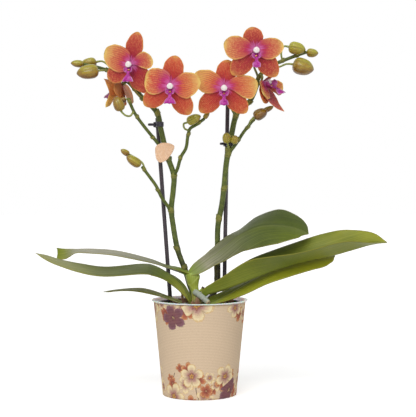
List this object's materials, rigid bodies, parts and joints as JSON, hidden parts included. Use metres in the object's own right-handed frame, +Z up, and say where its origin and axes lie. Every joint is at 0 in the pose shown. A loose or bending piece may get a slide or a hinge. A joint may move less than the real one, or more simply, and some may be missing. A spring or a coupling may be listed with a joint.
{
  "type": "potted moth orchid",
  "caption": "Moth orchid with two staked flower spikes, arching leaves, open flowers and buds, in a grow pot inside a white cover pot with a kraft paper sleeve.",
  "frame": {"origin": "centre of the cover pot's base, on the surface that it stands on", "axes": "+Z up through the pot's centre line, -Y towards the side that the flowers face, +X to the right as seen from that side"},
  "size_m": [0.3867, 0.1143, 0.4053],
  "materials": {
    "white_pot": "satin",
    "kraft_paper": "matte",
    "dark_pot": "satin",
    "bark": "matte",
    "crown": "satin",
    "aerial_root": "matte",
    "spike": "satin",
    "stake": "satin",
    "clip": "satin",
    "tag": "matte",
    "leaf": "satin",
    "bud": "satin",
    "sepal": "satin",
    "petal": "satin",
    "lip": "satin"
  },
  "bodies": {
    "root": {"cover_pot": "white_pot", "kraft_sleeve": "kraft_paper", "grow_pot": "dark_pot", "bark_medium": "bark", "plant_crown": "crown", "aerial_root_front": "aerial_root", "aerial_root_left": "aerial_root", "aerial_root_right": "aerial_root", "flower_spike_left": "spike", "flower_spike_right": "spike", "stake_left": "stake", "stake_right": "stake", "clip_left": "clip", "clip_right": "clip", "plant_tag": "tag", "leaf_right_top": "leaf", "leaf_right_middle": "leaf", "leaf_right_low": "leaf", "leaf_left_long": "leaf", "leaf_left_top": "leaf", "leaf_left_small": "leaf", "branch_left_upper": "spike", "branch_left_lower": "spike", "branch_left_inner": "spike", "branch_right": "spike", "bud_left_large": "bud", "bud_left_upper": "bud", "bud_left_end": "bud", "bud_upper_branch_front": "bud", "bud_upper_branch_back": "bud", "bud_lower_branch": "bud", "bud_lower_branch_end": "bud", "bud_inner_branch": "bud", "bud_inner_branch_end": "bud", "bud_right_front": "bud", "bud_right_side": "bud", "bud_right_branch": "bud", "bud_right_branch_end": "bud", "bud_right_upper": "bud", "bud_right_lower": "bud", "bud_right_end": "bud", "flower_1_sepals": "sepal", "flower_1_petals": "petal", "flower_1_lip": "lip", "flower_2_sepals": "sepal", "flower_2_petals": "petal", "flower_2_lip": "lip", "flower_3_sepals": "sepal", "flower_3_petals": "petal", "flower_3_lip": "lip", "flower_4_sepals": "sepal", "flower_4_petals": "petal", "flower_4_lip": "lip", "flower_5_sepals": "sepal", "flower_5_petals": "petal", "flower_5_lip": "lip", "flower_6_sepals": "sepal", "flower_6_petals": "petal", "flower_6_lip": "lip"}
  },
  "joints": []
}
